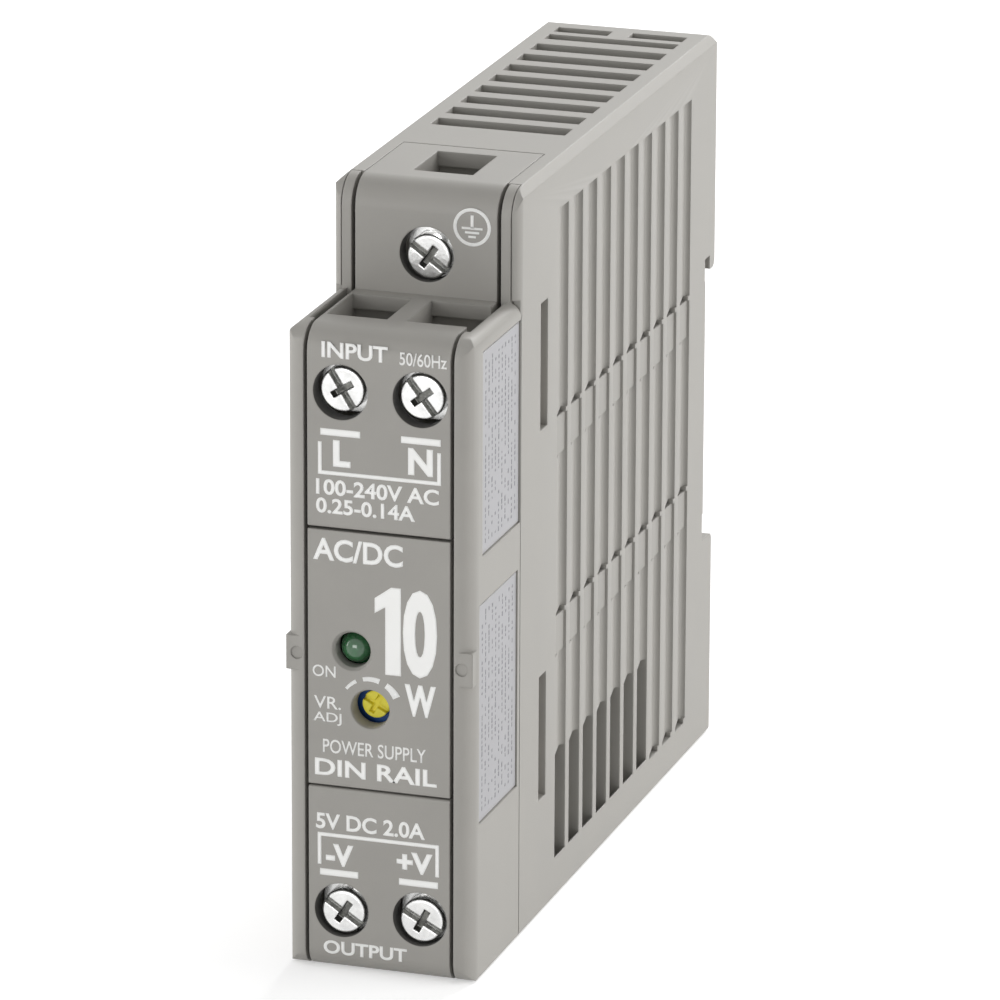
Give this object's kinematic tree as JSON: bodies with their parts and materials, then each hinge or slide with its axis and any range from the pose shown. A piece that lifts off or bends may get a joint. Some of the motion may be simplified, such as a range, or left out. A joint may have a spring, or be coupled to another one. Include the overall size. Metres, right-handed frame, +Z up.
{
  "type": "din rail power supply",
  "caption": "Slim grey rail-mounted power supply with recessed screw terminals, an indicator lamp, a voltage adjuster, fluted vented sides and a sprung rail latch.",
  "frame": {"origin": "middle of the rail seat, the land at the back that the 35 mm rail's front face rests on", "axes": "+Y points back into the rail, +Z up, +X to the right as seen from the front; the terminals and lamp face -Y"},
  "size_m": [0.0226, 0.095, 0.09],
  "materials": {
    "case_grey": "fine grained light-grey moulding",
    "panel_grey": "fine grained warm-grey moulding",
    "label": "printed grey label film",
    "lamp_green": "dark green tinted epoxy",
    "adjuster_blue": "blue moulding",
    "adjuster_yellow": "yellow nylon",
    "latch_plastic": "grey acetal moulding",
    "spring_steel": "bright drawn wire",
    "fuse_glass": "pale ceramic tube with plated caps",
    "varistor_blue": "blue dipped coating",
    "thermistor_green": "dark green dipped coating",
    "disc_blue": "blue dipped coating",
    "capacitor_grey": "pale yellow moulded case",
    "ferrite": "sintered ferrite",
    "copper": "enamelled copper wire",
    "chip_black": "black epoxy",
    "can_sleeve": "black shrink sleeve",
    "bobbin_black": "black phenolic moulding",
    "tape_yellow": "yellow polyester tape",
    "heat_sink": "mill finish sheet",
    "zinc_screw": "bright zinc plate",
    "zinc_washer": "bright zinc plate",
    "contact_brass": "tinned brass strip",
    "resistor_tan": "tan lacquer",
    "board_green": "green solder mask",
    "shield_grey": "grey fibre sheet"
  },
  "bodies": {
    "case": {"rear_case": "case_grey", "front_case": "case_grey", "input_terminal_block": "panel_grey", "name_panel": "panel_grey", "output_terminal_block": "panel_grey", "upper_label": "label", "lower_label": "label", "indicator_lamp": "lamp_green", "adjuster_body": "adjuster_blue", "latch_spring": "spring_steel", "fuse": "fuse_glass", "varistor": "varistor_blue", "thermistor": "thermistor_green", "safety_capacitor": "disc_blue", "filter_capacitor": "capacitor_grey", "choke_core": "ferrite", "choke_windings": "copper", "bridge_rectifier": "chip_black", "bulk_capacitor": "can_sleeve", "transformer_core": "ferrite", "transformer_bobbin": "bobbin_black", "transformer_winding": "tape_yellow", "switch_heat_sink": "heat_sink", "diode_heat_sink": "heat_sink", "switching_transistor": "chip_black", "filter_coil_core": "ferrite", "filter_coil_winding": "copper", "output_capacitors": "can_sleeve", "optocoupler": "chip_black", "control_chip": "chip_black", "resistors": "resistor_tan", "main_board": "board_green", "shield_sheet": "shield_grey", "contact_strip_ground": "contact_brass", "contact_strip_live": "contact_brass", "contact_strip_neutral": "contact_brass", "contact_strip_minus": "contact_brass", "contact_strip_plus": "contact_brass"},
    "ground_clamp": {"clamp_washer_ground": "zinc_washer"},
    "ground_screw": {"screw_ground": "zinc_screw"},
    "live_clamp": {"clamp_washer_live": "zinc_washer"},
    "live_screw": {"screw_live": "zinc_screw"},
    "neutral_clamp": {"clamp_washer_neutral": "zinc_washer"},
    "neutral_screw": {"screw_neutral": "zinc_screw"},
    "minus_clamp": {"clamp_washer_minus": "zinc_washer"},
    "minus_screw": {"screw_minus": "zinc_screw"},
    "plus_clamp": {"clamp_washer_plus": "zinc_washer"},
    "plus_screw": {"screw_plus": "zinc_screw"},
    "adjuster": {"adjuster_rotor": "adjuster_yellow"},
    "latch": {"din_latch": "latch_plastic"}
  },
  "joints": [
    {"name": "ground_clamp_slide", "type": "slide", "parent": "case", "child": "ground_clamp", "axis": [0, 1, 0], "range_m": [0, 0.004]},
    {"name": "ground_screw_turn", "type": "hinge", "parent": "ground_clamp", "child": "ground_screw", "pos_m": [0.0001, -0.0739, 0.03675], "axis": [0, 1, 0], "range_deg": [0, 2880]},
    {"name": "live_clamp_slide", "type": "slide", "parent": "case", "child": "live_clamp", "axis": [0, 1, 0], "range_m": [0, 0.004]},
    {"name": "live_screw_turn", "type": "hinge", "parent": "live_clamp", "child": "live_screw", "pos_m": [-0.00455, -0.0906, 0.02525], "axis": [0, 1, 0], "range_deg": [0, 2880]},
    {"name": "neutral_clamp_slide", "type": "slide", "parent": "case", "child": "neutral_clamp", "axis": [0, 1, 0], "range_m": [0, 0.004]},
    {"name": "neutral_screw_turn", "type": "hinge", "parent": "neutral_clamp", "child": "neutral_screw", "pos_m": [0.00495, -0.0906, 0.02525], "axis": [0, 1, 0], "range_deg": [0, 2880]},
    {"name": "minus_clamp_slide", "type": "slide", "parent": "case", "child": "minus_clamp", "axis": [0, 1, 0], "range_m": [0, 0.004]},
    {"name": "minus_screw_turn", "type": "hinge", "parent": "minus_clamp", "child": "minus_screw", "pos_m": [-0.00455, -0.0906, -0.0375], "axis": [0, 1, 0], "range_deg": [0, 2880]},
    {"name": "plus_clamp_slide", "type": "slide", "parent": "case", "child": "plus_clamp", "axis": [0, 1, 0], "range_m": [0, 0.004]},
    {"name": "plus_screw_turn", "type": "hinge", "parent": "plus_clamp", "child": "plus_screw", "pos_m": [0.00495, -0.0906, -0.0375], "axis": [0, 1, 0], "range_deg": [0, 2880]},
    {"name": "adjuster_turn", "type": "hinge", "parent": "case", "child": "adjuster", "pos_m": [-0.00105, -0.0892, -0.0123], "axis": [0, 1, 0], "range_deg": [-130, 130]},
    {"name": "latch_slide", "type": "slide", "parent": "case", "child": "latch", "axis": [0, 0, -1], "range_m": [0, 0.004], "stiffness_N_per_m": 400, "springref_m": -0.003, "deforming": ["latch_spring"]}
  ],
  "couplings": [
    {"joint": "ground_screw_turn", "follows": "ground_clamp_slide", "rad_per_m": 12566},
    {"joint": "live_screw_turn", "follows": "live_clamp_slide", "rad_per_m": 12566},
    {"joint": "neutral_screw_turn", "follows": "neutral_clamp_slide", "rad_per_m": 12566},
    {"joint": "minus_screw_turn", "follows": "minus_clamp_slide", "rad_per_m": 12566},
    {"joint": "plus_screw_turn", "follows": "plus_clamp_slide", "rad_per_m": 12566}
  ]
}
